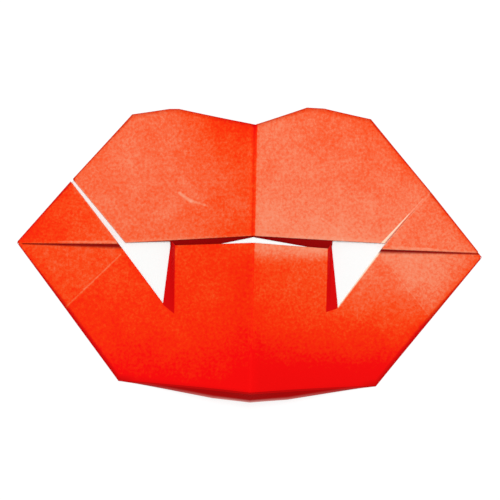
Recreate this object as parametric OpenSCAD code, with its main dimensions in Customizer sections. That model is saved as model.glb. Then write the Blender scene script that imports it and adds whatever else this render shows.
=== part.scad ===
// Origami vampire mouth: one square of red paper, white on its reverse, folded flat and then
// flexed along its centre crease. It lies on a table with the lips facing up. The red side is
// outside, so the fangs and the gaps show the white inside of the back.
// +X runs along the mouth, +Y towards the upper lip, +Z up from the table.
// Each fold is a ribbon: a line of paper seen from the end, carried along the mouth.

/* [Paper] */
// Thickness of the paper
paper = 0.12; // [0.08:0.01:0.2]
// Height from one resting layer to the next
layer_step = 0.3; // [0.25:0.01:0.4]
// Longest step from one section to the next where the paper curves
section_step = 4; // [2:0.5:8]

/* [Flexed shape] */
// Slope of the front on each side of the centre crease, in degrees
crease_slope = 24; // [12:1:28]
// Distance from the centre crease at which the wings lie flat
flat_from = 48; // [44:0.5:54]
// Distance from the centre crease inside which each half of the back is flat
back_flat = 26; // [20:0.5:30]
// Height that the lower lip's edge springs up at the mouth
tongue_lift = 2.3; // [1:0.1:3]
// Height that the upper lip's edge springs up between the fangs
lip_lift = 0.8; // [0.3:0.1:1.2]
// Height that the inner end of each corner triangle's fold springs up
triangle_lift = 0.8; // [0.3:0.1:1.2]

/* [Outline] */
// Centre crease to the left corner of the mouth
left_tip = 76.4; // [70:0.1:82]
// Centre crease to the right corner of the mouth
right_tip = 74.2; // [70:0.1:82]
// Left corner of the mouth below the mouth line
left_tip_drop = 1.4; // [0:0.1:4]
// Right corner of the mouth below the mouth line
right_tip_drop = 3; // [0:0.1:4]
// Width cut off each sharp point by the thickness of its folds
tip_blunt = 0.4; // [0.3:0.05:0.8]
// Centre crease to the lower lip's left bottom corner
left_corner = 42.6; // [38:0.1:43.5]
// Centre crease to the lower lip's right bottom corner
right_corner = 40.6; // [38:0.1:43.5]
// Bottom corners below the mouth line
corner_depth = 45.5; // [42:0.1:46.5]
// Front bottom edge below the mouth line, at the centre crease
front_depth = 47.2; // [46.6:0.1:49]
// Back bottom edge beyond the front one, at the centre crease
gusset_run = 3.5; // [1:0.1:5]
// Centre crease to the ends of the back bottom edge's flatter middle
back_bend = 12; // [8:0.5:20]
// Those ends above the back bottom edge's middle
back_bend_rise = 0.8; // [0.6:0.1:1.4]
// Centre crease to the upper lip's left shoulder
left_shoulder = 39.9; // [35:0.1:42]
// Centre crease to the upper lip's right shoulder
right_shoulder = 37.2; // [35:0.1:42]
// Shoulders above the mouth line
shoulder_height = 40.7; // [38:0.1:42]
// Outer end of the left peak's flat top
left_peak_out = 27.9; // [26:0.1:31]
// Inner end of the left peak's flat top
left_peak_in = 24.7; // [20:0.1:25.5]
// Left peak above the shoulders
left_peak_rise = 1.8; // [1:0.1:4]
// Outer end of the right peak's flat top
right_peak_out = 21.9; // [20:0.1:26]
// Inner end of the right peak's flat top
right_peak_in = 16.3; // [14:0.1:19]
// Right peak above the shoulders
right_peak_rise = 2.8; // [1:0.1:4]
// Dip of the cupid's bow below the shoulders
bow_dip = 3.7; // [1:0.1:6]
// Bend of the upper outline at the corner triangles, out of the straight
outline_bulge = 0.3; // [0:0.1:1]
// Corner triangles' upper corners down the outline from the line of the arms' inner edges
apex_slide = 0.6; // [0:0.1:1]

/* [Mouth] */
// Width of the folded strip that makes the lower lip's left arm
left_arm_width = 26.3; // [25:0.1:27.5]
// Width of the folded strip that makes the lower lip's right arm
right_arm_width = 26.9; // [25:0.1:27.5]
// Upper lip's edge above the mouth line, at the centre crease
lip_rise = 2.2; // [1.8:0.1:3]
// Upper lip's left end above the mouth line
left_lip_end = -0.7; // [-1.5:0.1:1]
// Upper lip's right end above the mouth line
right_lip_end = 0.8; // [-1.5:0.1:1]
// White gap between the upper lip and the left arm, at the mouth line
left_lip_gap = 2.6; // [1:0.1:5]
// White gap between the upper lip and the right arm, at the mouth line
right_lip_gap = 0.8; // [0.6:0.1:5]
// White gap between the upper lip and the left triangle, at the outline
left_side_gap = 0.7; // [0.3:0.1:1]
// White gap between the upper lip and the right triangle, at the outline
right_side_gap = 0.3; // [0.3:0.1:1]
// Depth of the hem turned under the upper lip's edge
lip_hem = 9; // [5:0.5:14]
// Corner triangles' folded edge below the mouth line, at its outer end
triangle_edge_out = 1.6; // [1.2:0.1:2]
// Corner triangles' folded edge below the mouth line, at its inner end
triangle_edge_in = 1.1; // [0.6:0.1:1.5]
// Fang tips below the mouth line
fang_depth = 20; // [16:0.5:22]
// Centre crease to the left fang's tip
left_fang_tip = 28.6; // [27.8:0.1:30]
// Centre crease to the right fang's tip
right_fang_tip = 27.7; // [27:0.1:30]
// Centre crease to the left fang's inner upper corner
left_fang_inner = 26.4; // [25.7:0.1:27]
// Centre crease to the right fang's inner upper corner
right_fang_inner = 25.2; // [24.7:0.1:26]
// Inner upper corner of each fang above the mouth line
fang_top = 0.4; // [0:0.1:0.8]
// Centre crease to the upright crease at the left of the lower lip's middle
left_side_crease = 24.9; // [23.5:0.1:25.2]
// Centre crease to the upright crease at the right of the lower lip's middle
right_side_crease = 23.9; // [23:0.1:24.2]
// Lower end of the left upright crease below the mouth line
left_crease_depth = 23.1; // [22.5:0.1:26]
// Lower end of the right upright crease below the mouth line
right_crease_depth = 21.6; // [21.2:0.1:26]
// Upper end of the upright creases below the mouth line
side_crease_top = 1.3; // [1:0.1:3]
// Reach of the red flange under the upper lip's edge
flange_run = 3.2; // [2:0.1:5]
// White layer behind the lower lip: its peak above the mouth line
backing_rise = 1.7; // [1:0.1:1.9]
// White layer behind the lower lip: its left end
backing_left = 10.1; // [6:0.1:14]
// White layer behind the lower lip: its right end
backing_right = 17.4; // [14:0.1:21]
// White layer behind the lower lip: its depth
backing_depth = 6; // [3:0.5:10]

/* [Hidden] */

red = [0.93, 0.1, 0.04];
white = [0.97, 0.96, 0.93];

// Radius of the arch on each side of the crease
bend_radius = flat_from / sin(crease_slope);
// Height of the middle of the lowest layer
rest = paper / 2;
// Shortest stretch of paper past a crease
pinch = 0.3;
// Slack between a free edge and the fold that it lies in
edge_slack = 0.2;
// The two sides of the centre crease
left = -1;
right = 1;

function sized(side, a, b) = side < 0 ? a : b;
function tip(side) = sized(side, left_tip, right_tip);
function tip_drop(side) = sized(side, left_tip_drop, right_tip_drop);
function corner(side) = sized(side, left_corner, right_corner);
function shoulder(side) = sized(side, left_shoulder, right_shoulder);
function peak_height(side) = shoulder_height + sized(side, left_peak_rise, right_peak_rise);
function lip_end(side) = sized(side, left_lip_end, right_lip_end);
function lip_gap(side) = sized(side, left_lip_gap, right_lip_gap);
function side_gap(side) = sized(side, left_side_gap, right_side_gap);
function fang_tip(side) = sized(side, left_fang_tip, right_fang_tip);
function fang_inner(side) = sized(side, left_fang_inner, right_fang_inner);
function side_crease(side) = sized(side, left_side_crease, right_side_crease);
function crease_depth(side) = sized(side, left_crease_depth, right_crease_depth);

// Arms: a strip of even width along the line from the tip to the bottom corner. Its inner edge
// meets the upper outline near the apex, where the outline is bent outwards.
function arm_fall(side) = (corner_depth - tip_drop(side)) / (tip(side) - corner(side));
function arm_rise(side) =
    sized(side, left_arm_width, right_arm_width) * sqrt(1 + arm_fall(side) ^ 2);
function arm_reach(side, y) = tip(side) - (arm_rise(side) - tip_drop(side) - y) / arm_fall(side);
function outline_rise(side) = (shoulder_height + tip_drop(side)) / (tip(side) - shoulder(side));
function outline_angle(side) = atan(outline_rise(side));
function apex_run(side) = arm_rise(side) / (arm_fall(side) + outline_rise(side))
    - apex_slide * cos(outline_angle(side));
function apex(side) = tip(side) - apex_run(side) + outline_bulge * sin(outline_angle(side));
function apex_height(side) = apex_run(side) * outline_rise(side) - tip_drop(side)
    + outline_bulge * cos(outline_angle(side));
function lip_corner(side) = arm_reach(side, lip_end(side)) - lip_gap(side);
function lip_apex(side) = apex(side) - side_gap(side);
function triangle_corner(side) = arm_reach(side, -triangle_edge_in);
function triangle_tip(side) = tip(side) - max(0, tip_drop(side) - triangle_edge_out) / outline_rise(side);

// A table of [x, y] points from the left tip to the right tip, out of the points of one side
function both_sides(left_points, middle, right_points) = concat(
    [for (p = left_points) [-p[0], p[1]]],
    [middle],
    [for (i = [len(right_points) - 1:-1:0]) right_points[i]]
);

function arm_points(side) = [
    [tip(side), -tip_drop(side)],
    [corner(side), -corner_depth]
];
function bottom_front(x) =
    lookup(x, both_sides(arm_points(left), [0, -front_depth], arm_points(right)));
back_depth = front_depth + gusset_run;
function back_points(side) = concat(arm_points(side), [[back_bend, back_bend_rise - back_depth]]);
function bottom_back(x) =
    lookup(x, both_sides(back_points(left), [0, -back_depth], back_points(right)));

function top_points(side) = [
    [tip(side), -tip_drop(side)],
    [apex(side), apex_height(side)],
    [shoulder(side), shoulder_height],
    [sized(side, left_peak_out, right_peak_out), peak_height(side)],
    [sized(side, left_peak_in, right_peak_in), peak_height(side)]
];
function top_edge(x) =
    lookup(x, both_sides(top_points(left), [0, shoulder_height - bow_dip], top_points(right)));

// Free edge of the lower lip: arm, fang side, dart and the middle's upper edge
function free_points(side) = [
    [tip(side), -tip_drop(side) - edge_slack],
    [apex(side), apex_height(side) - edge_slack],
    [arm_reach(side, 0), 0],
    [fang_tip(side), -fang_depth],
    [fang_inner(side), fang_top],
    [side_crease(side), -side_crease_top]
];
function lower_free(x) =
    lookup(x, both_sides(free_points(left), [0, 0], free_points(right)));
function dart_points(side) = [
    [fang_tip(side), -fang_depth - pinch],
    [side_crease(side), -crease_depth(side)]
];
middle_depth = (left_crease_depth + right_crease_depth) / 2;
function dart_line(x) =
    lookup(x, both_sides(dart_points(left), [0, -middle_depth], dart_points(right)));
function lower_break(x) = abs(x) < fang_tip(x < 0 ? left : right)
    ? min(dart_line(x), lower_free(x) - pinch) : lower_free(x) - pinch;

// Free edge of the upper lip: slanted sides down to the corners, then the mouth's edge
function lip_points(side) = [
    [lip_apex(side), top_edge(side * lip_apex(side))],
    [lip_corner(side), lip_end(side)]
];
function lip_edge(x) =
    lookup(x, both_sides(lip_points(left), [0, lip_rise], lip_points(right)));

// Heights: the front arches up to the centre crease, and the back stays lower in the middle
function arch(u) = u >= flat_from ? 0
    : bend_radius - sqrt(bend_radius ^ 2 - (flat_from - u) ^ 2);
function arch_slope(u) = (flat_from - u) / sqrt(bend_radius ^ 2 - (flat_from - u) ^ 2);
function back_arch(u) = u >= back_flat ? arch(u)
    : arch(back_flat) + (back_flat - u) * arch_slope(back_flat);
function back_z(x) = rest + back_arch(abs(x));
function face_z(x) = rest + layer_step + arch(abs(x));
function lip_z(x) = rest + 2 * layer_step + arch(abs(x));
function lip_springs(side) = [[flat_from, 0], [side_crease(side), lip_lift]];
function lip_edge_z(x) =
    lip_z(x) + lookup(x, both_sides(lip_springs(left), [0, lip_lift], lip_springs(right)));
function springs(side) = [
    [fang_tip(side), 0],
    [fang_inner(side), -layer_step / 2],
    [side_crease(side), tongue_lift]
];
function spring(x) =
    lookup(x, both_sides(springs(left), [0, tongue_lift], springs(right)));
function tongue_z(x, y) = face_z(x)
    + tongue_lift * (y - dart_line(x)) / (lower_free(x) - dart_line(x));

// Sections: the places of the corners, with more between them where the paper curves
function with_steps(marks) = [
    for (i = [0:len(marks) - 2])
        let (gap = marks[i + 1] - marks[i], n = max(1, ceil(gap / section_step)))
            for (k = [0:n - 1]) marks[i] + gap * k / n,
    marks[len(marks) - 1]
];
function kept(marks, low, high) = concat(
    [low],
    [for (m = marks) if (m > low + edge_slack && m < high - edge_slack) m],
    [high]
);
function side_marks(side) = [
    apex(side), flat_from, arm_reach(side, 0), corner(side), shoulder(side), fang_tip(side),
    fang_inner(side), side_crease(side), back_flat, back_bend,
    sized(side, left_peak_out, right_peak_out), sized(side, left_peak_in, right_peak_in)
];
function sorted(list) = len(list) <= 1 ? list
    : let (pivot = list[floor(len(list) / 2)])
        concat(
            sorted([for (v = list) if (v < pivot) v]),
            [for (v = list) if (v == pivot) v],
            sorted([for (v = list) if (v > pivot) v])
        );
function spaced(list) = [
    for (i = [0:len(list) - 1]) if (i == 0 || list[i] - list[i - 1] > 0.05) list[i]
];
all_marks = spaced(sorted(concat(
    [for (v = side_marks(left)) -v],
    [0, -lip_corner(left), lip_corner(right)],
    side_marks(right)
)));
function sections(low, high) = with_steps(kept(all_marks, low, high));

// Ribbon: a line of paper in the YZ plane, given for each section, with its thickness
function heading(path, i) =
    let (a = path[max(i - 1, 0)], b = path[i], c = path[min(i + 1, len(path) - 1)],
        before = i == 0 ? c - b : b - a, after = i == len(path) - 1 ? b - a : c - b)
        [before / norm(before), after / norm(after)];
function turned(v) = [-v[1], v[0]];
function mitre(path, i) =
    let (h = heading(path, i), n = turned(h[0]) + turned(h[1]))
        n / (1 + h[0] * h[1]);
function offset_points(x, path, d) = [
    for (i = [0:len(path) - 1]) let (p = path[i] + mitre(path, i) * d) [x, p[0], p[1]]
];
module ribbon(xs, paths) {
    n = len(paths[0]);
    ring = 2 * n;
    last = (len(xs) - 1) * ring;
    points = [
        for (i = [0:len(xs) - 1]) each concat(
            offset_points(xs[i], paths[i], paper / 2),
            [for (j = [n - 1:-1:0]) offset_points(xs[i], paths[i], -paper / 2)[j]]
        )
    ];
    walls = [
        for (i = [0:len(xs) - 2], j = [0:ring - 1])
            let (a = i * ring + j, b = i * ring + (j + 1) % ring, c = b + ring, d = a + ring)
                each [[a, b, c], [a, c, d]]
    ];
    ends = [
        for (j = [0:n - 2])
            let (a = j, b = j + 1, c = ring - 2 - j, d = ring - 1 - j)
                each [
                    [a, c, b], [a, d, c],
                    [last + a, last + b, last + c], [last + a, last + c, last + d]
                ]
    ];
    polyhedron(points = points, faces = concat(walls, ends), convexity = 8);
}

// Back, the fold along the bottom and the lower lip with its arms and darts
module back_and_lower_lip() {
    xs = sections(-left_tip + tip_blunt, right_tip - tip_blunt);
    color(red)
        ribbon(xs, [
            for (x = xs) [
                [top_edge(x), back_z(x)],
                [bottom_back(x), back_z(x)],
                [bottom_front(x), face_z(x)],
                [lower_break(x), face_z(x)],
                [lower_free(x), face_z(x) + spring(x)]
            ]
        ]);
}

// Upper lip, folded over from the back along the top edge
module upper_lip() {
    xs = sections(-lip_apex(left) + tip_blunt, lip_apex(right) - tip_blunt);
    color(red)
        ribbon(xs, [
            for (x = xs) [
                [top_edge(x), back_z(x)],
                [top_edge(x), lip_z(x)],
                [lip_edge(x), lip_edge_z(x)]
            ]
        ]);
}

// Hem turned under the upper lip's edge
module upper_lip_hem() {
    xs = sections(-lip_corner(left) + tip_blunt, lip_corner(right) - tip_blunt);
    color(white)
        ribbon(xs, [
            for (x = xs) [
                [lip_edge(x), lip_edge_z(x)],
                [lip_edge(x), lip_edge_z(x) - layer_step],
                [lip_edge(x) + lip_hem, lip_z(x) - layer_step]
            ]
        ]);
}

// Red flange that turns down from the upper lip's edge, between the fangs
module lip_flange() {
    xs = sections(-side_crease(left) + pinch, side_crease(right) - pinch);
    color(red)
        ribbon(xs, [
            for (x = xs) [
                [lip_edge(x), lip_edge_z(x) - layer_step],
                [lip_edge(x) - flange_run, back_z(x) + layer_step / 2]
            ]
        ]);
}

// White layer that shows as a sliver above the lower lip's middle
module tongue_backing() {
    xs = sections(-backing_left, backing_right);
    peak = [[-backing_left, -side_crease_top / 3], [0, backing_rise],
        [backing_right, -side_crease_top / 2]];
    color(white)
        ribbon(xs, [
            for (x = xs) let (y = lookup(x, peak)) [
                [y, tongue_z(x, y) - paper],
                [y - backing_depth, tongue_z(x, y - backing_depth) - paper]
            ]
        ]);
}

// Corner triangle: folded over the end of an arm, its lower edge turned under
module corner_triangle(side) {
    high = triangle_tip(side) - 2 * tip_blunt;
    low = triangle_corner(side) + 2 * tip_blunt;
    span = high - low;
    us = with_steps([low, apex(side), high]);
    function flap_z(u) = face_z(side * u) + layer_step;
    function edge_z(u) = flap_z(u) + triangle_lift * (high - u) / span;
    function edge(u) = -triangle_edge_in
        - (triangle_edge_out - triangle_edge_in) * (u - low) / span;
    inner = triangle_corner(side);
    slant = (apex_height(side) + triangle_edge_in) / (apex(side) - inner);
    function upper(u) = u > apex(side) ? top_edge(side * u)
        : (u - inner) * slant - triangle_edge_in;
    function upper_z(u) = flap_z(u)
        + triangle_lift * max(0, apex(side) - u) / (apex(side) - low);
    function across(u) = [
        [upper(u), upper_z(u)],
        [edge(u), edge_z(u)],
        [edge(u), edge_z(u) - layer_step / 2],
        [(edge(u) + upper(u)) / 2, (edge_z(u) + upper_z(u) - layer_step) / 2]
    ];
    xs = side > 0 ? us : [for (i = [len(us) - 1:-1:0]) -us[i]];
    color(red)
        ribbon(xs, [for (x = xs) across(abs(x))]);
    rim_us = with_steps([apex(side) + edge_slack, high]);
    rim_xs = side > 0 ? rim_us : [for (i = [len(rim_us) - 1:-1:0]) -rim_us[i]];
    color(red)
        ribbon(rim_xs, [
            for (x = rim_xs) [[top_edge(x), back_z(x)], [top_edge(x), flap_z(abs(x))]]
        ]);
}

// The one folded sheet, moved so that its outline is centred on the origin
module folded_sheet() {
    peak = max(peak_height(left), peak_height(right));
    translate([(left_tip - right_tip) / 2, (back_depth - peak) / 2, 0]) {
        back_and_lower_lip();
        upper_lip();
        upper_lip_hem();
        lip_flange();
        tongue_backing();
        corner_triangle(left);
        corner_triangle(right);
    }
}

folded_sheet();
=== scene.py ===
"""The looks of a vampire mouth folded from one square of paper, red outside and white inside.

Every surface is a sheet of paper worked out on a grid: one direction runs along the mouth, and
the other follows the paper round its folds. Sizes are in millimetres from the centre crease and
the mouth line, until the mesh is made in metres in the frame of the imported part.
"""

import math
from dataclasses import dataclass

import bpy
import numpy as np
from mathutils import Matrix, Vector


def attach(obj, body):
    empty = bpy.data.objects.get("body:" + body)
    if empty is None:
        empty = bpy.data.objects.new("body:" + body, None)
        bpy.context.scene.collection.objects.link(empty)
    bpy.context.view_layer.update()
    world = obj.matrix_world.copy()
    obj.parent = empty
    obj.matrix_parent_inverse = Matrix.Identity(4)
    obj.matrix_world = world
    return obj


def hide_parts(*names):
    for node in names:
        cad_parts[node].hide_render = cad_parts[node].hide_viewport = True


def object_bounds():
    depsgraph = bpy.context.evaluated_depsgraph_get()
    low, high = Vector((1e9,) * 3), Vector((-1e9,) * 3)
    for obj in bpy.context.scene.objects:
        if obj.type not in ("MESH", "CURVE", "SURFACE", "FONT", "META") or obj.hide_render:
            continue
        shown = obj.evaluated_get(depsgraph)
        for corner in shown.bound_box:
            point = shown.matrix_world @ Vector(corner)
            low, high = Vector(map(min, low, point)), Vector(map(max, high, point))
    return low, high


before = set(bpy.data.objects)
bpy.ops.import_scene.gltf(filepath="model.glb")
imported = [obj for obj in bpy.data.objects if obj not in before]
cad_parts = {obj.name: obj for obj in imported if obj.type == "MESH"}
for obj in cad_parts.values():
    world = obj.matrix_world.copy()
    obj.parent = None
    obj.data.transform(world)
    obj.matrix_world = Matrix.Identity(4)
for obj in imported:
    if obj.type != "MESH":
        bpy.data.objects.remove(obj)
cad_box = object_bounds()

MM = 0.001

# Paper, with how far a fold's rounding reaches and how little may be left at a sharp end
paper = 0.12
layer_step = 0.3
fold_reach = 0.3
sharp_end = 0.15
edge_slack = 0.2
pinch = 0.3

# Where two sheets meet on the back: the reach, and the most of a narrow stretch that it may take
seam_reach = 0.5
seam_share = 0.3
lip_share = 0.4

# Clearances of hidden layers: two in layers, and two in millimetres
hem_layers = 0.8
flange_layers = 1.3
backing_gap = 1.5 * paper
triangle_hem_gap = 1.2 * paper

# Grid along the mouth, closer over the darts and the pleat, and round the folds
section_step = 0.8
section_grid = 0.05
fine_step = 0.2
before_dart = 0.6
past_dart = 0.4
pleat_from = -2.2
pleat_to = 1.8
fold_steps = 6
fold_share = 0.45

# A fold with a shorter reach than this wears and takes a painted highlight, and the width of both
worn_reach = 1
worn_width = 0.35

# Height above the bottom fold where the gusset's painted shade and glow have ended
fold_margin = 1

# Flexed shape
crease_slope = math.radians(24)
crease_round = 0.25
flat_from = 48
back_flat = 26
tongue_lift = 2.3
lip_lift = 0.8
triangle_lift = 0.8
ripple_height = 0.1
bend_radius = flat_from / math.sin(crease_slope)

# Pleat in the upper lip's crease: places along the mouth, each with its height
pleat_points = ((-1.9, 0), (-0.6, -0.35), (0.4, 0.2), (1.4, 0))

# Soft bend where the lower lip's middle springs up
tongue_bend = 10
tongue_bend_side = 8
tongue_bend_place = 20

# Where the painted light and shade change from the left half's to the right half's, from the crease
crease_switch = 0.45

# Outline and mouth
corner_depth = 45.5
front_depth = 47.2
gusset_run = 3.5
back_depth = front_depth + gusset_run
back_bend = 12
back_bend_rise = 0.8
shoulder_height = 40.7
bow_dip = 3.7
outline_bulge = 0.3
apex_slide = 0.6
lip_rise = 2.2
lip_hem = 9
triangle_edge_out = 1.6
triangle_edge_in = 1.1
fang_depth = 20
fang_top = 0.4
side_crease_top = 1.3
flange_run = 3.2
flange_end = 40
strip_end = 0.1
backing_rise = 1.7
backing_left = 10.1
backing_right = 17.4
backing_depth = 6

# Red: a scale from deep to pale that also carries painted light and shade, the red of painted
# shade inside a fold and the pink of a painted glow at the back fold
red_tones = (
    (0.0, (0.955, 0.0024, 0.0024)),
    (0.37, (0.968, 0.032, 0.002)),
    (0.56, (0.955, 0.07, 0.0085)),
    (0.75, (0.942, 0.127, 0.042)),
    (1.0, (0.944, 0.238, 0.12)),
    (1.3, (0.95, 0.33, 0.2)),
    (1.8, (0.98, 0.74, 0.55)),
)
palest = 1.8
painted_shade_red = (0.25, 0.0015, 0.0015)
painted_glow_pink = (0.9, 0.42, 0.38)
back_paleness = 0.5
# The flange's deeper red is painted shade
flange_paleness = 0.25
shade_depth = 0.9
facing_up = 0.1

# Cut edges turn from a dark red of painted shade to a cream of painted light between two places
# along the mouth, in metres. In the painted shade they stay red.
cut_painted_shade_red = (0.4, 0.03, 0.02)
cut_painted_light_cream = (0.98, 0.68, 0.5)
cream_from = 0.026
cream_to = 0.029
red_in_shade = 2

# Unprinted paper, in the hollows and on the heights of its grain
white_low = (0.97, 0.97, 0.96)
white_high = (0.995, 0.995, 0.985)

# Surface
roughness_least = 0.5
roughness_spread = 0.25
sheen = 0.03
fibre_strength = 0.3
fibre_height = 0.05

# Strength and reach of the colour's variations, painted highlights, shade and glow among them
mottle_strength = 1.0
patch_strength = 0.4
wear_and_highlight_strength = 0.4
gusset_shade = 0.8
painted_glow_reach = 1.15
dart_shade = 0.38
corner_shade = 0.11
flange_shade = 0.9
rim_reach = 1.0
rim_left = 0.12
rim_right = 0.3
contour_shade = 0.7
contour_reach = 0.25

# Light, with places in metres
sky_strength = 0.5
window_place = (0.02, 0.16, 0.62)
window_size = 0.35
window_power = 2.3
floor_glow = 0.75
floor_light = 1.08
floor_reach = 2.0

# Camera, in millimetres: its height, the width that it sees on the table and its place
sensor_width = 36
camera_height = 330
frame_width = 162
camera_place = (0.15, 1.27)
camera_turn = math.radians(1.2)

# Pale marks on the red: from, to, first width, last width and strength. The first two are the old
# creases across the arms, the next two are painted highlights along the corner triangles' lower
# folds, and the last three are painted light along bare edges by the right slit and right fang.
PALE_MARKS_AND_PAINTED_LIGHT = (
    ((-60.1, -22.0), (-42.6, -4.5), 0.5, 0.4, 0.32),
    ((58.1, -23.1), (45.1, -7.8), 0.4, 0.3, 0.12),
    ((-43.0, -0.5), (-63.0, -0.9), 0.7, 0.3, 0.25),
    ((45.0, -0.4), (60.0, -0.9), 0.7, 0.4, 0.2),
    ((-24.0, 15.5), (-20.1, 13.0), 0.8, 0.9, 0.45),
    ((-20.1, 13.0), (-14.9, 11.5), 0.9, 0.6, 0.3),
    ((-23.0, 19.0), (-17.0, 13.5), 2.5, 2.0, 0.12),
    ((21.6, 8.4), (27.2, 4.7), 0.3, 0.8, 0.12),
    ((-1.0, -47.0), (-0.8, -24.0), 0.5, 0.3, 0.05),
    ((41.2, -1.5), (27.7, -19.9), 0.7, 0.7, 1.3),
    ((41.9, 0.9), (50.3, 10.5), 0.62, 0.12, 1.8),
    ((50.3, 10.5), (54.6, 15.4), 0.25, 0.2, 0.35),
)
# The shade under the corner triangles' lower edges, which only the arms below them take
DARK_MARKS = (
    ((-42.0, -1.85), (-74.5, -1.75), 1.5, 0.4, 1.0),
    ((41.0, -1.55), (73.5, -2.05), 1.5, 0.35, 1.0),
)

RED, WHITE, CUT_EDGE = 0, 1, 2


@dataclass
class Side:
    """One side of the mouth: distances out from the centre crease and up from the mouth line."""

    sign: int
    tip: float
    tip_drop: float
    corner: float
    shoulder: float
    peak_out: float
    peak_in: float
    peak_rise: float
    lip_end: float
    lip_gap: float
    side_gap: float
    arm_width: float
    fang_tip: float
    fang_inner: float
    side_crease: float
    crease_depth: float
    hem_show: float

    def __post_init__(self):
        """The arm is a strip of even width along the line from the tip to the bottom corner."""
        self.arm_fall = (corner_depth - self.tip_drop) / (self.tip - self.corner)
        self.arm_rise = self.arm_width * math.sqrt(1 + self.arm_fall**2)
        self.outline_rise = (shoulder_height + self.tip_drop) / (self.tip - self.shoulder)
        slope = math.atan(self.outline_rise)
        run = self.arm_rise / (self.arm_fall + self.outline_rise) - apex_slide * math.cos(slope)
        self.apex = self.tip - run + outline_bulge * math.sin(slope)
        self.apex_height = (
            run * self.outline_rise - self.tip_drop + outline_bulge * math.cos(slope)
        )
        self.lip_corner = self.arm_reach(self.lip_end) - self.lip_gap
        self.lip_apex = self.apex - self.side_gap
        self.peak_height = shoulder_height + self.peak_rise

    def arm_reach(self, y):
        """How far out the arm's inner edge is at height y."""
        return self.tip - (self.arm_rise - self.tip_drop - y) / self.arm_fall


LEFT = Side(
    sign=-1,
    tip=76.4,
    tip_drop=1.4,
    corner=42.6,
    shoulder=39.9,
    peak_out=27.9,
    peak_in=24.7,
    peak_rise=1.8,
    lip_end=-0.7,
    lip_gap=2.6,
    side_gap=0.7,
    arm_width=26.3,
    fang_tip=28.6,
    fang_inner=26.4,
    side_crease=24.9,
    crease_depth=23.1,
    hem_show=0.35,
)
RIGHT = Side(
    sign=1,
    tip=74.2,
    tip_drop=3,
    corner=40.6,
    shoulder=37.2,
    peak_out=21.9,
    peak_in=16.3,
    peak_rise=2.8,
    lip_end=0.8,
    lip_gap=0.3,
    side_gap=0.05,
    arm_width=26.9,
    fang_tip=27.7,
    fang_inner=25.2,
    side_crease=23.9,
    crease_depth=21.6,
    hem_show=0.1,
)
SIDES = (LEFT, RIGHT)


def along(points, middle):
    """Straight lines through each side's points, outermost first, and a point on the crease."""
    left = [(-x, y) for x, y in points(LEFT)]
    right = points(RIGHT)[::-1]
    xs, ys = np.array([*left, (0, middle), *right], float).T
    return lambda x: np.interp(x, xs, ys)


# Each side's own points of the mouth's lines
def arm_line(side):
    return [(side.tip, -side.tip_drop), (side.corner, -corner_depth)]


def back_line(side):
    return [*arm_line(side), (back_bend, back_bend_rise - back_depth)]


def upper_outline(side):
    return [
        (side.tip, -side.tip_drop),
        (side.apex, side.apex_height),
        (side.shoulder, shoulder_height),
        (side.peak_out, side.peak_height),
        (side.peak_in, side.peak_height),
    ]


def free_edge(side):
    return [
        (side.tip, -side.tip_drop - edge_slack),
        (side.apex, side.apex_height - edge_slack),
        (side.arm_reach(0), 0),
        (side.fang_tip, -fang_depth),
        (side.fang_inner, fang_top),
        (side.side_crease, -side_crease_top),
    ]


def dart_foot(side):
    return [(side.fang_tip, -fang_depth - pinch), (side.side_crease, -side.crease_depth)]


bottom_front = along(arm_line, -front_depth)
bottom_back = along(back_line, -back_depth)
top_edge = along(upper_outline, shoulder_height - bow_dip)
lower_free = along(free_edge, 0)
dart_line = along(dart_foot, -(LEFT.crease_depth + RIGHT.crease_depth) / 2)
lip_edge = along(
    lambda side: [
        (side.lip_apex, float(top_edge(side.sign * side.lip_apex))),
        (side.lip_corner, side.lip_end),
    ],
    lip_rise,
)


def lower_break(x):
    """Where the lower lip starts to rise: the darts' foot, or just short of the arm's edge."""
    between = (x > -LEFT.fang_tip) & (x < RIGHT.fang_tip)
    near_edge = lower_free(x) - pinch
    return np.where(between, np.minimum(dart_line(x), near_edge), near_edge)


def arc(u):
    """Height of an arc that touches the table at flat_from and is steepest at the crease."""
    return bend_radius - np.sqrt(bend_radius**2 - np.maximum(flat_from - u, 0) ** 2)


def arch(x):
    """Height of the flexed front: the arc on both sides, with the crease itself rounded."""
    return arc(np.hypot(x, crease_round) - crease_round)


def back_arch(x):
    """The front's arch as far in as the fangs, and from there its tangent up to the crease."""
    inner = flat_from - back_flat
    slope = inner / math.sqrt(bend_radius**2 - inner**2)
    u = np.hypot(x, crease_round) - crease_round
    return np.where(u < back_flat, arc(back_flat) + (back_flat - u) * slope, arc(u))


def ripple(x, y):
    """Unevenness of a hand-folded sheet: two long slanted waves, never below the table."""
    return ripple_height * (np.sin((x + 0.4 * y) / 15 + 1) ** 2 + np.sin((y - 0.3 * x) / 13) ** 2)


def back_z(x, y):
    """The back meets the front along the top edge and sinks towards the bottom edge."""
    sunk = (top_edge(x) - y) / (top_edge(x) - bottom_back(x))
    return paper / 2 + arch(x) - (arch(x) - back_arch(x)) * sunk


def face_z(x):
    return paper / 2 + layer_step + arch(x)


lip_spring = along(lambda side: [(flat_from, 0), (side.side_crease, lip_lift)], lip_lift)


def lip_z(x):
    """The upper lip lies one layer above the lower one, with a narrow pleat at the crease."""
    return face_z(x) + layer_step + np.interp(x, *np.array(pleat_points).T)


def lower_springs(side):
    """Rise of the lower lip's free edge: the middle springs up and the darts turn down."""
    return [
        (side.fang_tip, 0),
        (side.fang_inner, -layer_step / 2),
        (side.side_crease, tongue_lift),
    ]


spring = along(lower_springs, tongue_lift)


def tongue_z(x, y):
    foot = dart_line(x)
    return face_z(x) + tongue_lift * (y - foot) / (lower_free(x) - foot)


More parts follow.
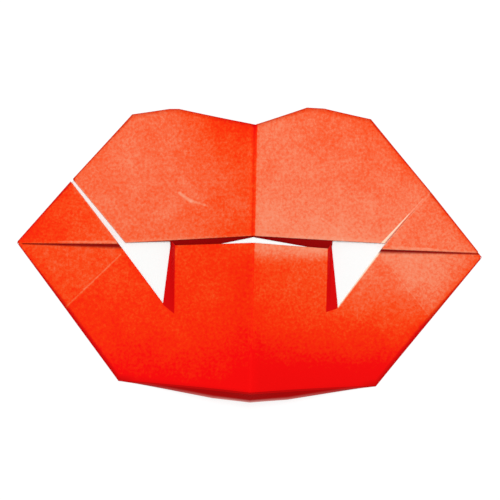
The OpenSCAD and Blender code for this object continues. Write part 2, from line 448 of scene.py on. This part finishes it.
def sections(low, high):
    """Places along the mouth from low to high: even steps, closer ones at the creases and darts."""
    marks = [0.0]
    for side in SIDES:
        places = [side.apex, side.lip_apex, side.corner, side.shoulder, side.peak_out]
        places += [side.peak_in, side.lip_corner, side.fang_tip, side.fang_inner]
        places += [side.side_crease, side.arm_reach(0), back_bend]
        marks += [side.sign * place for place in places]
        dart = np.arange(side.side_crease - before_dart, side.fang_tip + past_dart, fine_step)
        marks += list(side.sign * dart)
    marks += list(np.arange(pleat_from, pleat_to, fine_step))
    xs = np.concatenate([marks, np.arange(low, high, section_step)])
    xs = np.unique(np.round(xs / section_grid) * section_grid)
    inside = xs[(xs > low + section_grid) & (xs < high - section_grid)]
    return np.concatenate([[low], inside, [high]])


def folded_path(corners, steps, reaches):
    """The paper's line in each section. Each inner corner P becomes the curve
    (1-t)^2 A + 2t(1-t) P + t^2 B, with A and B its reach away along the two straight stretches,
    and each stretch is divided into its number of steps."""
    points = np.stack([np.stack(np.broadcast_arrays(*corner), -1) for corner in corners], 1)
    if not reaches:
        t = np.linspace(0, 1, steps[0] + 1)[None, :, None]
        line = points[:, :1] * (1 - t) + points[:, 1:] * t
        return line, np.zeros(line.shape[:2])
    back, ahead = points[:, :-2] - points[:, 1:-1], points[:, 2:] - points[:, 1:-1]
    back_length = np.linalg.norm(back, axis=-1, keepdims=True)
    ahead_length = np.linalg.norm(ahead, axis=-1, keepdims=True)
    wanted = np.stack(np.broadcast_arrays(*[r + 0 * points[:, 0, 0] for r in reaches]), 1)
    most = fold_share * np.minimum(back_length, ahead_length)
    reach = np.minimum(wanted[..., None], most)
    before = points[:, 1:-1] + back / back_length * reach
    after = points[:, 1:-1] + ahead / ahead_length * reach
    line = []
    start = points[:, 0]
    for k, count in enumerate(steps):
        last = k == len(steps) - 1
        end = points[:, -1] if last else before[:, k]
        t = np.linspace(0, 1, count + 1)[None, :, None]
        line.append(start[:, None] * (1 - t) + end[:, None] * t)
        if not last:
            t = np.linspace(0, 1, fold_steps + 1)[None, 1:-1, None]
            a, p, b = before[:, k, None], points[:, k + 1, None], after[:, k, None]
            line.append((1 - t) ** 2 * a + 2 * t * (1 - t) * p + t**2 * b)
            start = after[:, k]
    line = np.concatenate(line, 1)
    middles = 0.25 * before + 0.5 * points[:, 1:-1] + 0.25 * after
    gap = np.linalg.norm(line[:, :, None] - middles[:, None], axis=-1)
    sharp = np.array([np.mean(r) < worn_reach for r in reaches])
    if not sharp.any():
        return line, 0 * gap[:, :, 0]
    return line, np.exp(-((gap[:, :, sharp] / worn_width) ** 2)).max(-1)


# From the crease and mouth line to the part's frame
box_middle = (np.array(cad_box[0]) + np.array(cad_box[1])) / 2 / MM
highest = max(LEFT.peak_height, RIGHT.peak_height)
frame_shift = np.array(
    [(LEFT.tip - RIGHT.tip) / 2, (back_depth - highest) / 2, 0]
) + box_middle * [1, 1, 0]


def on_front(x, y, z):
    """0 on the back, and 1 on whatever lies half a layer or more above it."""
    return np.clip(3 * (z - back_z(x, y)) / layer_step - 0.5, 0, 1)


def hump(x, middle, reach):
    """A smooth rise to 1 at the middle that dies away over its reach."""
    return np.exp(-(((x - middle) / reach) ** 2))


def lip_tone(x, y, z):
    """How pale the upper lip's red is, with painted light and shade: deepest beside the crease at
    the top left, palest over the right side of the mouth, with a painted shade line along the pleat
    and a painted highlight on its left."""
    high = np.clip((y - 24) / 13, 0, 1)
    left = 0.82 - hump(x, 0, 19) * (0.24 + 0.3 * high) - 0.05 * hump(y, -1, 5)
    right = 1.04 - 0.0075 * y - 0.08 * np.clip((x - 25) / 25, 0, 1) + 0.16 * hump(x, 4, 9) * high
    pleat = 0.24 * hump(x, -0.2, 0.75) - 0.1 * hump(x, -1.7, 0.7) * high
    return np.where(x < crease_switch, left, right) - pleat


def beyond_crease(x, y):
    """How far a place on an arm lies above the arm's old crease, in millimetres."""
    gaps = []
    for (ax, ay), (bx, by), *_ in PALE_MARKS_AND_PAINTED_LIGHT[:2]:
        run = math.hypot(bx - ax, by - ay)
        gaps.append(((x - ax) * (by - ay) - (y - ay) * (bx - ax)) / run)
    return np.where(x < 0, -gaps[0], gaps[1])


def dart_share(x, y):
    """1 on the darts, the narrow strips beside the fangs, and 0 off them."""
    left, right = (side.side_crease for side in SIDES)
    beyond = np.where(x < 0, -x - left, x - right)
    tip = np.where(x < 0, LEFT.fang_tip, RIGHT.fang_tip)
    across = np.clip(beyond / 0.4 + 0.5, 0, 1) * (np.abs(x) < tip)
    return across * np.clip((y - dart_line(x)) / 0.2 + 1, 0, 1)


def lower_tone(x, y, z):
    """The lower lip's red, with painted light and shade: it turns a deep red towards the bottom and
    the centre crease, first on the right. Its arms are paler beyond their old creases, the right
    one most, and so is the right half of the middle's edge. The left arm is deeper along its inner
    edge, and so are the darts."""
    drop = np.clip(-y / corner_depth, 0, 1)
    middle = np.where(
        x < crease_switch, 0.4 * (1 - 1.1 * drop**3), 0.54 * (1 - 1.5 * drop**3)
    )
    middle = middle - (0.03 + 0.22 * drop) * hump(x, 0, 8)
    arm = np.where(x < 0, 0.1 * hump(drop, 0, 0.3), 0.33 * hump(drop, 0, 0.5))
    arm = arm - np.where(x < 0, 0.07, 0.27) * np.clip((np.abs(x) - 58) / 14, 0, 1)
    past = np.clip(beyond_crease(x, y) / 1.6 + 0.5, 0, 1) * np.where(x < 0, 0.11, 0.15)
    inner = 0.14 * hump(-x - LEFT.arm_reach(y), 0.5, 2.5) * hump(y, -7, 7)
    outside = np.clip((np.abs(x) - LEFT.side_crease) / 9, 0, 1)
    edge = np.where(x < crease_switch, 0.13, 0.49) * hump(y, -1.5, 3.2) * np.clip(1 + x / 12, 0, 1)
    tone = middle + (arm + past - inner) * outside + edge * (1 - outside)
    front = on_front(x, y, z)
    return tone * (1 - dart_share(x, y)) * front + back_tone(x, y, z) * (1 - front)


def triangle_tone(x, y, z):
    """Painted light and shade: the left triangle is a deep orange that grows paler inwards, and the
    right one is pale.
    """
    return np.where(x < 0, 0.27 + 0.34 * np.clip((x + LEFT.tip) / 26, 0, 1), 0.85 - y * 0.002)


def back_tone(x, y, z):
    """The back's outside, which the light reaches least."""
    return back_paleness + 0 * x


# Painted shade: the flange's red is deeper, as in the upper lip's shadow.
def flange_tone(x, y, z):
    return flange_paleness + 0 * x


def on_gusset(x, y, z):
    """1 from the front fold round to the back fold, and 0 on the rest of the back and the face."""
    rise = y - bottom_back(x)
    return (bottom_front(x) > y) & ((rise < fold_reach) | (on_front(x, y, z) > 0))


def lower_shade(x, y, z):
    """The gusset and the darts are turned away from the light, so their red is deeper, and the
    right half a little towards the bottom."""
    gusset = np.clip((bottom_front(x) - y) / 0.4, 0, 1) * gusset_shade * on_gusset(x, y, z)
    drop = np.clip(-y / corner_depth, 0, 1)
    right = corner_shade * drop**3 * np.clip(x / 3, 0, 1)
    face = np.maximum(dart_share(x, y) * dart_shade, right) * on_front(x, y, z)
    return np.maximum(gusset, face)


def back_fold_painted_glow(x, y, z):
    """How strong the painted pink glow is at the fold between the gusset and the back, most of all
    in the middle, and 0 a little way up the gusset."""
    rise = np.clip((y - bottom_back(x)) / painted_glow_reach, 0, 1)
    width = np.clip((bottom_front(x) - bottom_back(x)) / 2.5, 0, 1)
    middle = 0.25 + 0.75 * hump(x, -1, 15)
    return on_gusset(x, y, z) * width * middle * (1 - rise) ** 1.3


def no_shade(x, y, z):
    return 0 * x


def deep_shade(x, y, z):
    return flange_shade + 0 * x


def outline_distance(x, y):
    """Distance to the nearest straight stretch of the outline, from its ends A and B: the length of
    P - A - t (B - A), with t the share of the way where the nearest point lies."""
    outline = []
    for points, middle in ((upper_outline, shoulder_height - bow_dip), (arm_line, -front_depth)):
        left = [(-px, py) for px, py in points(LEFT)]
        outline.append([*left, (0, middle), *points(RIGHT)[::-1]])
    nearest = np.full(x.shape, np.inf)
    for line in outline:
        for (ax, ay), (bx, by) in zip(line[:-1], line[1:]):
            run = (bx - ax) ** 2 + (by - ay) ** 2
            t = np.clip(((x - ax) * (bx - ax) + (y - ay) * (by - ay)) / run, 0, 1)
            gap = np.hypot(x - ax - t * (bx - ax), y - ay - t * (by - ay))
            nearest = np.minimum(nearest, gap)
    return nearest


def rim_strength(x):
    """The red deepens towards the outline, most on the right."""
    return np.interp(x, [-LEFT.tip, 0, RIGHT.tip], [rim_left, rim_left, rim_right])


class Sheets:
    """Collects sheets of paper: each is a closed shell of two sides and the cut edges."""

    def __init__(self):
        self.points, self.faces, self.sides = [], [], []
        self.looks = {"tone": [], "shade": [], "fold_wear_and_highlight": [], "under_flap": [], "painted_glow": []}
        self.count = 0

    def add(
        self,
        xs,
        corners,
        steps,
        reaches=None,
        outer=RED,
        inner=WHITE,
        tone=back_tone,
        shade=no_shade,
        lowest=False,
    ):
        """Adds the sheet that runs through the corners in every section, with its colour, painted
        light and shade among it.
        """
        reaches = [fold_reach] * (len(corners) - 2) if reaches is None else reaches
        line, fold = folded_path(corners, steps, reaches)
        rows, columns = line.shape[:2]
        x, y, z = np.repeat(xs[:, None], columns, 1), line[..., 0], line[..., 1]
        middle = np.stack([x, y, z + ripple(x, y)], -1)
        normal = np.cross(np.gradient(middle, axis=0), np.gradient(middle, axis=1))
        normal /= np.linalg.norm(normal, axis=-1, keepdims=True)
        index = np.arange(rows * columns).reshape(rows, columns)
        top, under = index + self.count, index + self.count + rows * columns

        def quads(a, b, c, d):
            return np.stack([a, b, c, d], -1).reshape(-1, 4)

        parts = [
            (outer, quads(top[:-1, :-1], top[1:, :-1], top[1:, 1:], top[:-1, 1:])),
            (inner, quads(under[:-1, :-1], under[:-1, 1:], under[1:, 1:], under[1:, :-1])),
            (CUT_EDGE, quads(top[:-1, 0], under[:-1, 0], under[1:, 0], top[1:, 0])),
            (CUT_EDGE, quads(top[:-1, -1], top[1:, -1], under[1:, -1], under[:-1, -1])),
            (CUT_EDGE, quads(top[0, :-1], top[0, 1:], under[0, 1:], under[0, :-1])),
            (CUT_EDGE, quads(top[-1, :-1], under[-1, :-1], under[-1, 1:], top[-1, 1:])),
        ]
        self.points += [(middle + normal * paper / 2).reshape(-1, 3)]
        self.points += [(middle - normal * paper / 2).reshape(-1, 3)]
        border = outline_distance(x, y)
        face = on_front(x, y, z)
        rim = rim_strength(x) * np.exp(-border / rim_reach) * face
        contour = contour_shade * np.exp(-((border / contour_reach) ** 2)) * face
        depth = np.maximum(shade(x, y, z), contour)
        looks = {
            "tone": tone(x, y, z) - rim,
            "shade": depth,
            "fold_wear_and_highlight": fold,
            "under_flap": np.full(x.shape, float(lowest)),
            "painted_glow": back_fold_painted_glow(x, y, z) * lowest,
        }
        for name, value in looks.items():
            self.looks[name] += [value.ravel(), value.ravel()]
        for side, faces in parts:
            self.faces.append(faces)
            self.sides.append(np.full(len(faces), side))
        self.count += 2 * rows * columns


def back_and_lower_lip(sheets):
    """The back, the gusset along the bottom and the lower lip with its arms, darts and middle. A
    row of points close above the bottom fold keeps the gusset's painted shade and glow off the
    back."""
    xs = sections(-LEFT.tip + sharp_end, RIGHT.tip - sharp_end)
    top, bottom = top_edge(xs), bottom_back(xs)
    seam = top - np.minimum(seam_reach, seam_share * (top - bottom))
    near_fold = bottom + np.minimum(fold_margin, seam_share * (top - bottom))
    bends = along(
        lambda side: [(side.side_crease, fold_reach), (tongue_bend_place, tongue_bend_side)],
        tongue_bend,
    )
    corners = [
        (seam, back_z(xs, seam)),
        (near_fold, back_z(xs, near_fold)),
        (bottom, back_z(xs, bottom)),
        (bottom_front(xs), face_z(xs)),
        (lower_break(xs), face_z(xs)),
        (lower_free(xs), face_z(xs) + spring(xs)),
    ]
    reaches = [worn_reach, fold_reach, fold_reach, bends(xs)]
    sheets.add(
        xs, corners, [24, 1, 10, 18, 14], reaches, tone=lower_tone, shade=lower_shade, lowest=True
    )


def upper_lip(sheets):
    """From the hem under the mouth's edge, up over the lip and round the top edge to the back."""
    xs = sections(-LEFT.lip_apex + sharp_end, RIGHT.lip_apex - sharp_end)
    edge, top = lip_edge(xs), top_edge(xs)
    hem = np.minimum(lip_hem, lip_share * (top - edge))
    edge_z = lip_z(xs) + lip_spring(xs)
    seam = top - np.minimum(seam_reach, lip_share * (top - edge))
    corners = [
        (edge + hem, lip_z(xs) - layer_step * hem_layers),
        (edge, edge_z - layer_step),
        (edge, edge_z),
        (top, lip_z(xs)),
        (top, back_z(xs, top)),
        (seam, back_z(xs, seam)),
    ]
    sheets.add(xs, corners, [4, 1, 34, 1, 1], tone=lip_tone)


def lip_flange(sheets):
    """The red strip that turns down from the upper lip's edge between the fangs. Beyond them it
    shrinks to a narrow line of the hem that shows above each fang."""
    xs = sections(-flange_end, flange_end)
    shown = along(
        lambda side: [
            (flange_end, strip_end),
            (side.fang_inner + pinch, side.hem_show),
            (side.fang_inner, flange_run),
        ],
        flange_run,
    )
    foot = lip_edge(xs) - shown(xs)
    high = lip_z(xs) + lip_spring(xs) - layer_step * flange_layers
    turned = along(lambda side: [(side.fang_inner + pinch, 0), (side.fang_inner, 1)], 1)
    deep, shallow = back_z(xs, foot) + layer_step, high - layer_step / 3
    corners = [(foot, shallow + (deep - shallow) * turned(xs)), (lip_edge(xs) + pinch, high)]
    # Its deeper tone and its shade are painted shade, as in the upper lip's shadow.
    sheets.add(xs, corners, [6], [], tone=flange_tone, shade=deep_shade)


def tongue_backing(sheets):
    """The white layer that shows as a sliver above the lower lip's middle."""
    xs = sections(-backing_left, backing_right)
    ends = [lower_free(-backing_left), lower_free(backing_right)]
    high = np.interp(xs, [-backing_left, 0, backing_right], [ends[0], backing_rise, ends[1]])
    low = high - backing_depth
    corners = [(y, tongue_z(xs, y) - backing_gap) for y in (low, high)]
    sheets.add(xs, corners, [6], [], outer=WHITE, inner=RED)


def corner_triangle(sheets, side):
    """The flap folded over the end of an arm: its lower edge is turned under, its upper edge goes
    round the outline to the back, and past the apex it is a free edge slanting to the mouth."""
    low = side.arm_reach(-triangle_edge_in) + 2 * sharp_end
    high = side.tip - max(0, side.tip_drop - triangle_edge_out) / side.outline_rise - 2 * sharp_end
    us = np.concatenate([np.linspace(low, side.apex, 30)[:-1], np.linspace(side.apex, high, 26)])
    xs = side.sign * us
    z = face_z(xs) + layer_step
    edge = -triangle_edge_in - (triangle_edge_out - triangle_edge_in) * (us - low) / (high - low)
    edge_z = z + triangle_lift * (high - us) / (high - low)
    free = us < side.apex
    inner = side.arm_reach(-triangle_edge_in)
    slope = (side.apex_height + triangle_edge_in) / (side.apex - inner)
    slant = (us - inner) * slope - triangle_edge_in + paper
    upper = np.where(free, slant, top_edge(xs))
    upper_z = z + triangle_lift * np.maximum(0, side.apex - us) / (side.apex - low)
    seam = upper - np.minimum(seam_reach, seam_share * (upper - edge))
    hem_z = upper_z - triangle_hem_gap
    corners = [
        ((edge + upper) / 2, (edge_z + upper_z - layer_step) / 2),
        (edge, edge_z - layer_step / 2),
        (edge, edge_z),
        (upper, upper_z),
        (upper, np.where(free, hem_z, back_z(xs, upper))),
        (seam, np.where(free, hem_z, back_z(xs, seam))),
    ]
    turn = slice(None, None, side.sign)
    corners = [tuple(value[turn] for value in corner) for corner in corners]
    sheets.add(xs[turn], corners, [4, 1, 16, 1, 1], tone=triangle_tone)


def new_object(name, data):
    """Puts a mesh, a light or a camera into the scene."""
    made = bpy.data.objects.new(name, data)
    bpy.context.scene.collection.objects.link(made)
    return made


def paper_object(sheets, materials):
    """One mesh of all the sheets, moved from the crease and mouth line to the part's frame."""
    points = (np.concatenate(sheets.points) + frame_shift) * MM
    faces = np.concatenate(sheets.faces)
    sides = np.concatenate(sheets.sides)
    mesh = bpy.data.meshes.new("folded_sheet_paper")
    mesh.from_pydata(points.tolist(), [], faces.tolist())
    for material in materials:
        mesh.materials.append(material)
    mesh.polygons.foreach_set("material_index", sides.astype(np.int32))
    mesh.polygons.foreach_set("use_smooth", sides != CUT_EDGE)
    for name, values in sheets.looks.items():
        attribute = mesh.attributes.new(name, "FLOAT", "POINT")
        attribute.data.foreach_set("value", np.concatenate(values).astype(np.float32))
    mesh.update()
    return new_object("folded_sheet_paper", mesh)


def node(tree, kind, inputs=(), **settings):
    """Adds a node and fills its inputs: a socket is linked, and any other value is written."""
    made = tree.nodes.new(kind)
    for name, value in settings.items():
        setattr(made, name, value)
    for name, value in dict(inputs).items():
        if isinstance(value, bpy.types.NodeSocket):
            tree.links.new(value, made.inputs[name])
        else:
            made.inputs[name].default_value = value
    return made


def maths(tree, operation, *values):
    """The result of one Math node."""
    return node(tree, "ShaderNodeMath", enumerate(values), operation=operation).outputs[0]


def vectors(tree, operation, *values, output="Vector"):
    """The result of one Vector Math node."""
    made = node(tree, "ShaderNodeVectorMath", enumerate(values), operation=operation)
    return made.outputs[output]


def effect(name, inputs, outputs):
    """An empty node group with its named inputs and outputs, each with the kind of its socket."""
    tree = bpy.data.node_groups.new(name, "ShaderNodeTree")
    for label, kind in inputs.items():
        tree.interface.new_socket(label, in_out="INPUT", socket_type=kind)
    for label in outputs:
        tree.interface.new_socket(label, in_out="OUTPUT", socket_type="NodeSocketFloat")
    given, result = tree.nodes.new("NodeGroupInput"), tree.nodes.new("NodeGroupOutput")
    return tree, given.outputs, result.inputs


def paper_grain():
    """Pulp: cloudy patches, a fine mottle where the ink took unevenly, and short fibres."""
    outputs = ("Patches", "Mottle", "Fibres")
    tree, given, result = effect("paper grain", {"Position": "NodeSocketVector"}, outputs)
    drawn_out = vectors(tree, "MULTIPLY", given["Position"], (1, 4, 1))
    noises = (
        {"Vector": given["Position"], "Scale": 110, "Detail": 3, "Roughness": 0.6},
        {"Vector": given["Position"], "Scale": 1100, "Detail": 4, "Roughness": 0.7},
        {"Vector": drawn_out, "Scale": 1600, "Detail": 5, "Roughness": 0.75},
    )
    for label, inputs in zip(outputs, noises):
        tree.links.new(node(tree, "ShaderNodeTexNoise", inputs).outputs["Fac"], result[label])
    return tree


def pressed_line():
    """A straight mark: 1 on the line from one point to another, with a smooth fall to 0 at a
    width that grows from its first to its last value."""
    inputs = {name: "NodeSocketVector" for name in ("Position", "From", "To")}
    inputs |= {name: "NodeSocketFloat" for name in ("First Width", "Last Width")}
    tree, given, result = effect("pressed line", inputs, ("Mask",))
    flat = vectors(tree, "MULTIPLY", given["Position"], (1, 1, 0))
    offset = vectors(tree, "SUBTRACT", flat, given["From"])
    run = vectors(tree, "SUBTRACT", given["To"], given["From"])
    across = vectors(tree, "DOT_PRODUCT", offset, run, output="Value")
    length = vectors(tree, "DOT_PRODUCT", run, run, output="Value")
    ratio = maths(tree, "DIVIDE", across, length)
    share = node(tree, "ShaderNodeClamp", {"Value": ratio}).outputs[0]
    nearest = node(tree, "ShaderNodeVectorMath", {0: run, "Scale": share}, operation="SCALE")
    distance = vectors(tree, "DISTANCE", offset, nearest.outputs[0], output="Value")
    growth = maths(tree, "SUBTRACT", given["Last Width"], given["First Width"])
    width = maths(tree, "MULTIPLY_ADD", growth, share, given["First Width"])
    inputs = {"Value": distance, "From Min": width, "From Max": 0.0, "To Min": 0.0, "To Max": 1.0}
    fall = node(tree, "ShaderNodeMapRange", inputs, interpolation_type="SMOOTHSTEP")
    tree.links.new(fall.outputs[0], result["Mask"])
    return tree


def placed(tree, group, inputs):
    """Places a node group in a material and fills its inputs."""
    return node(tree, "ShaderNodeGroup", inputs, node_tree=group).outputs


def marks_together(tree, lines, position, marks):
    """All the marks of one list, each times its strength, added up."""
    total = 0.0
    for start, end, first, last, strength in marks:
        ends = [Vector((*(np.array(point) + frame_shift[:2]) * MM, 0)) for point in (start, end)]
        inputs = {"Position": position, "From": ends[0], "To": ends[1]}
        inputs |= {"First Width": first * MM, "Last Width": last * MM}
        mask = placed(tree, lines, inputs)["Mask"]
        total = maths(tree, "MULTIPLY_ADD", mask, strength, total)
    return total


def new_material(name):
    """A new material, with its nodes and its main shader."""
    material = bpy.data.materials.new(name)
    material.use_nodes = True
    tree = material.node_tree
    return material, tree, tree.nodes["Principled BSDF"]


def paper_finish(tree, shader, grain):
    """A dull, slightly fibrous surface."""
    rough = maths(tree, "MULTIPLY_ADD", grain["Mottle"], roughness_spread, roughness_least)
    tree.links.new(rough, shader.inputs["Roughness"])
    shader.inputs["Specular IOR Level"].default_value = sheen
    inputs = {"Height": grain["Fibres"], "Strength": fibre_strength, "Distance": fibre_height * MM}
    bump = node(tree, "ShaderNodeBump", inputs)
    tree.links.new(bump.outputs["Normal"], shader.inputs["Normal"])


def blended(tree, share, first, last):
    """A colour from the first to the last one, by a share from 0 to 1. Either may be a socket."""
    first, last = (
        colour if isinstance(colour, bpy.types.NodeSocket) else (*colour, 1)
        for colour in (first, last)
    )
    inputs = {"Factor": share, 6: first, 7: last}
    return node(tree, "ShaderNodeMix", inputs, data_type="RGBA", clamp_factor=True).outputs[2]


def red_side(grains, lines):
    """Printed red: from a deep red to a pale orange red by a tone that carries painted light and
    shade, mottled, paler along sharp folds with wear and painted highlights, along old creases and
    painted light marks, a dark red of painted shade in the folds, and a painted pink glow at the
    back fold."""
    material, tree, shader = new_material("red_printed_side")
    place = node(tree, "ShaderNodeTexCoord").outputs
    grain = placed(tree, grains, {"Position": place["Object"]})
    tone, shade, fold_wear_and_highlight, under_flap, painted_glow = (
        node(tree, "ShaderNodeAttribute", attribute_name=name).outputs["Fac"]
        for name in ("tone", "shade", "fold_wear_and_highlight", "under_flap", "painted_glow")
    )
    upward = node(tree, "ShaderNodeSeparateXYZ", {0: place["Normal"]}).outputs["Z"]
    front = maths(tree, "GREATER_THAN", upward, facing_up)
    pale_and_painted_light = marks_together(tree, lines, place["Object"], PALE_MARKS_AND_PAINTED_LIGHT)
    pale_and_painted_light = maths(tree, "MULTIPLY", pale_and_painted_light, front)
    dark_marks = marks_together(tree, lines, place["Object"], DARK_MARKS)
    dark_marks = maths(tree, "MULTIPLY", dark_marks, maths(tree, "MULTIPLY", front, under_flap))
    mottle = maths(tree, "SUBTRACT", grain["Mottle"], 0.5)
    patches = maths(tree, "SUBTRACT", grain["Patches"], 0.5)
    paleness = maths(tree, "MULTIPLY_ADD", mottle, mottle_strength, tone)
    paleness = maths(tree, "MULTIPLY_ADD", patches, patch_strength, paleness)
    # Wear and a painted highlight along sharp folds, broken by the fibres
    worn = maths(tree, "MULTIPLY", fold_wear_and_highlight, grain["Fibres"])
    paleness = maths(tree, "MULTIPLY_ADD", worn, wear_and_highlight_strength, paleness)
    paleness = maths(tree, "ADD", paleness, pale_and_painted_light)
    paleness = maths(tree, "MULTIPLY_ADD", shade, -shade_depth, paleness)
    paleness = maths(tree, "DIVIDE", paleness, palest)
    ramp = node(tree, "ShaderNodeValToRGB", {"Fac": paleness})
    elements = ramp.color_ramp.elements
    while len(elements) < len(red_tones):
        elements.new(0.5)
    for element, (position, colour) in zip(elements, red_tones):
        element.position = position / palest
        element.color = (*colour, 1)
    # Painted shade: the folds and the arms under the triangles' edges turn a dark red
    depth = maths(tree, "ADD", shade, dark_marks)
    colour = blended(tree, depth, ramp.outputs["Color"], painted_shade_red)
    # Painted glow: pink at the fold between the gusset and the back
    colour = blended(tree, painted_glow, colour, painted_glow_pink)
    tree.links.new(colour, shader.inputs["Base Color"])
    paper_finish(tree, shader, grain)
    return material


def tinted_paper(name, dark, pale, grains):
    """Unprinted paper that varies between two colours with its grain."""
    material, tree, shader = new_material(name)
    place = node(tree, "ShaderNodeTexCoord").outputs["Object"]
    grain = placed(tree, grains, {"Position": place})
    colour = blended(tree, grain["Mottle"], dark, pale)
    tree.links.new(colour, shader.inputs["Base Color"])
    paper_finish(tree, shader, grain)
    return material


def cut_edges(grains):
    """The paper's cut edges: a dark red of painted shade on the left and in the painted shade of
    the folds, and a cream of painted light on the right."""
    material, tree, shader = new_material("cut_paper_edge")
    place = node(tree, "ShaderNodeTexCoord").outputs["Object"]
    grain = placed(tree, grains, {"Position": place})
    across = node(tree, "ShaderNodeSeparateXYZ", {0: place}).outputs["X"]
    inputs = {"Value": across, "From Min": cream_from, "From Max": cream_to}
    lit_share = node(tree, "ShaderNodeMapRange", inputs).outputs[0]
    shade = node(tree, "ShaderNodeAttribute", attribute_name="shade").outputs["Fac"]
    lit_share = maths(tree, "MULTIPLY_ADD", shade, -red_in_shade, lit_share)
    colour = blended(tree, lit_share, cut_painted_shade_red, cut_painted_light_cream)
    tree.links.new(colour, shader.inputs["Base Color"])
    paper_finish(tree, shader, grain)
    return material


def directly_seen(tree):
    """1 for rays from the camera, straight or by a reflection or through something clear."""
    rays = node(tree, "ShaderNodeLightPath").outputs
    reflected = maths(tree, "MAXIMUM", rays["Is Glossy Ray"], rays["Is Transmission Ray"])
    return maths(tree, "MAXIMUM", rays["Is Camera Ray"], reflected)


def white_floor():
    """A floor that looks white to the camera and in reflections, and keeps part of its shadow."""
    material = bpy.data.materials.new("white_floor")
    material.use_nodes = True
    tree = material.node_tree
    tree.nodes.clear()
    seen = maths(tree, "MULTIPLY", directly_seen(tree), floor_glow)
    plain = node(tree, "ShaderNodeBsdfDiffuse", {"Color": (1, 1, 1, 1)})
    bright = node(tree, "ShaderNodeEmission", {"Color": (1, 1, 1, 1), "Strength": floor_light})
    inputs = {0: seen, 1: plain.outputs[0], 2: bright.outputs[0]}
    mixed = node(tree, "ShaderNodeMixShader", inputs)
    node(tree, "ShaderNodeOutputMaterial", {"Surface": mixed.outputs[0]})
    mesh = bpy.data.meshes.new("floor")
    r = floor_reach
    mesh.from_pydata([(-r, -r, 0), (r, -r, 0), (r, r, 0), (-r, r, 0)], [], [(0, 1, 2, 3)])
    mesh.materials.append(material)
    return new_object("floor", mesh)


def studio():
    """An even white sky and one large soft light, high up beyond the upper lip."""
    world = bpy.data.worlds.new("sky")
    bpy.context.scene.world = world
    world.use_nodes = True
    tree = world.node_tree
    background = tree.nodes["Background"]
    background.inputs["Color"].default_value = (1, 1, 1, 1)
    strength = maths(tree, "MULTIPLY_ADD", directly_seen(tree), 1 - sky_strength, sky_strength)
    tree.links.new(strength, background.inputs["Strength"])
    light = bpy.data.lights.new("window", "AREA")
    light.shape = "DISK"
    light.size = window_size
    light.energy = window_power
    lamp = new_object("window", light)
    lamp.location = window_place
    lamp.rotation_euler = (-Vector(window_place)).to_track_quat("-Z", "Y").to_euler()


def photo_camera():
    """Straight down from above the mouth, turned so that the mouth leans a little clockwise."""
    data = bpy.data.cameras.new("camera")
    data.sensor_width = sensor_width
    data.lens = data.sensor_width * camera_height / frame_width
    camera = new_object("camera", data)
    camera.location = (camera_place[0] * MM, camera_place[1] * MM, camera_height * MM)
    camera.rotation_euler = (0, 0, camera_turn)
    bpy.context.scene.camera = camera


sheets = Sheets()
back_and_lower_lip(sheets)
upper_lip(sheets)
lip_flange(sheets)
tongue_backing(sheets)
for side in SIDES:
    corner_triangle(sheets, side)
grains, lines = paper_grain(), pressed_line()
white = tinted_paper("white_reverse_side", white_low, white_high, grains)
folded_sheet = paper_object(sheets, [red_side(grains, lines), white, cut_edges(grains)])
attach(folded_sheet, "root")
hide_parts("folded_sheet")

white_floor()
studio()
photo_camera()
bpy.context.scene.view_settings.view_transform = "Standard"
